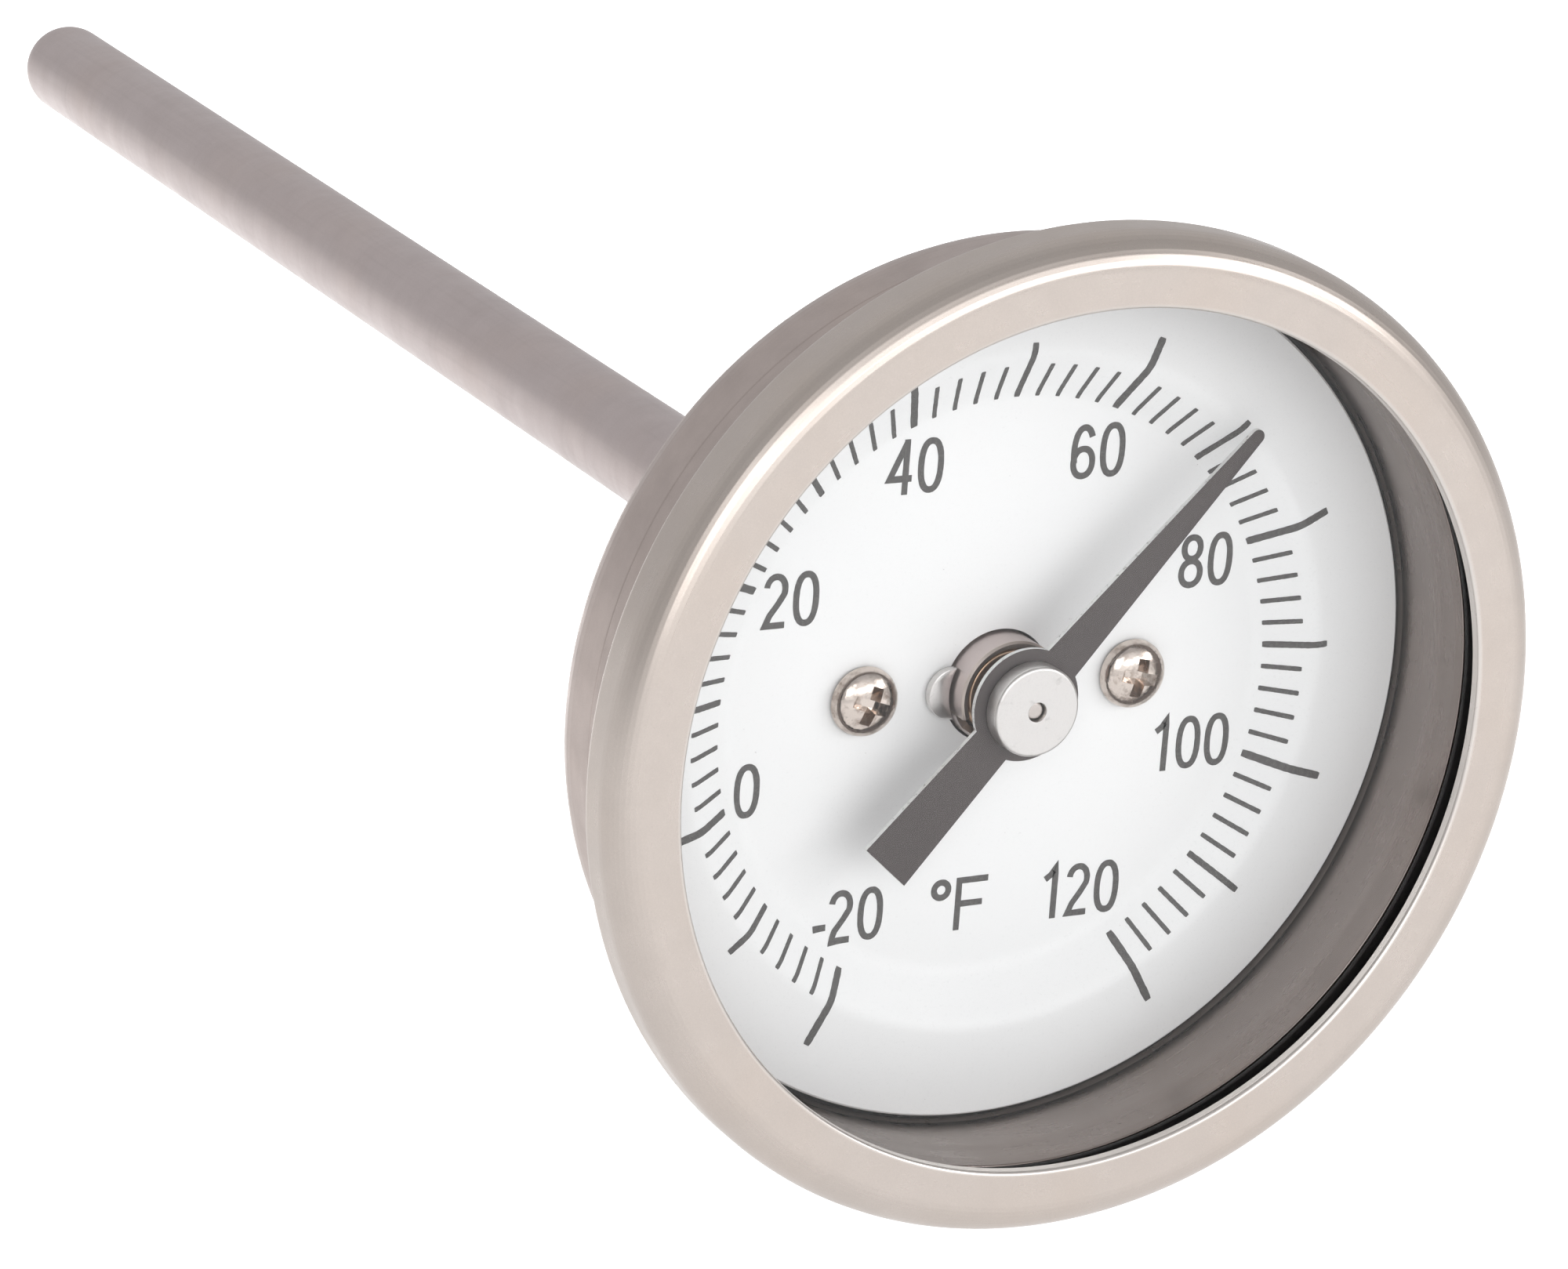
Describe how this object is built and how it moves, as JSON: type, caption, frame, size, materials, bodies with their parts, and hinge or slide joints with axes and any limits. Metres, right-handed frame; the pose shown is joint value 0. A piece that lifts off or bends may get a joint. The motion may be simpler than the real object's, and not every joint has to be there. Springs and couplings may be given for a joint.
{
  "type": "dial thermometer",
  "caption": "Bimetal dial thermometer: round steel head with a domed white Fahrenheit dial and black pointer, rear threaded fitting and a long thin probe stem.",
  "frame": {"origin": "on the stem's axis at the rear face of the wrench hexagon, where the tapered thread starts", "axes": "+Y along the stem from the dial to the tip, so the dial faces -Y; +Z is the dial's 12 o'clock and +X its 3 o'clock"},
  "size_m": [0.0574, 0.1573, 0.0574],
  "materials": {
    "bezel_steel": "satin",
    "case_steel": "satin",
    "stem_steel": "satin",
    "clear_glass": "polished",
    "black_rubber": "matte",
    "white_enamel": "satin",
    "pointer_paint": "matte",
    "turned_aluminium": "turned satin",
    "nickel_plate": "polished",
    "bright_brass": "turned",
    "fibre_seal": "matte",
    "bimetal_strip": "rolled"
  },
  "bodies": {
    "housing": {"bezel_ring": "bezel_steel", "glass_lens": "clear_glass", "lens_gasket": "black_rubber", "case_shell": "case_steel", "dial_plate": "white_enamel", "dial_screw_left": "nickel_plate", "dial_screw_right": "nickel_plate", "dial_post_left": "bright_brass", "dial_post_right": "bright_brass", "threaded_fitting": "stem_steel", "case_seal": "fibre_seal", "spring_washer": "stem_steel", "case_nut": "stem_steel", "stem_tube": "stem_steel", "stem_ear": "stem_steel", "front_bushing": "bright_brass", "rear_bushing": "bright_brass", "bimetal_helix": "bimetal_strip", "helix_anchor": "bright_brass"},
    "pointer": {"pointer_blade": "pointer_paint", "pointer_cap": "turned_aluminium", "pointer_hub": "bright_brass", "pointer_shaft": "stem_steel", "helix_collar": "bright_brass"}
  },
  "joints": [
    {"name": "pointer_turn", "type": "hinge", "parent": "housing", "child": "pointer", "pos_m": [0, 0, 0], "axis": [0, 1, 0], "range_deg": [-192.86, 107.14], "stiffness_Nm_per_rad": 0.0001}
  ]
}
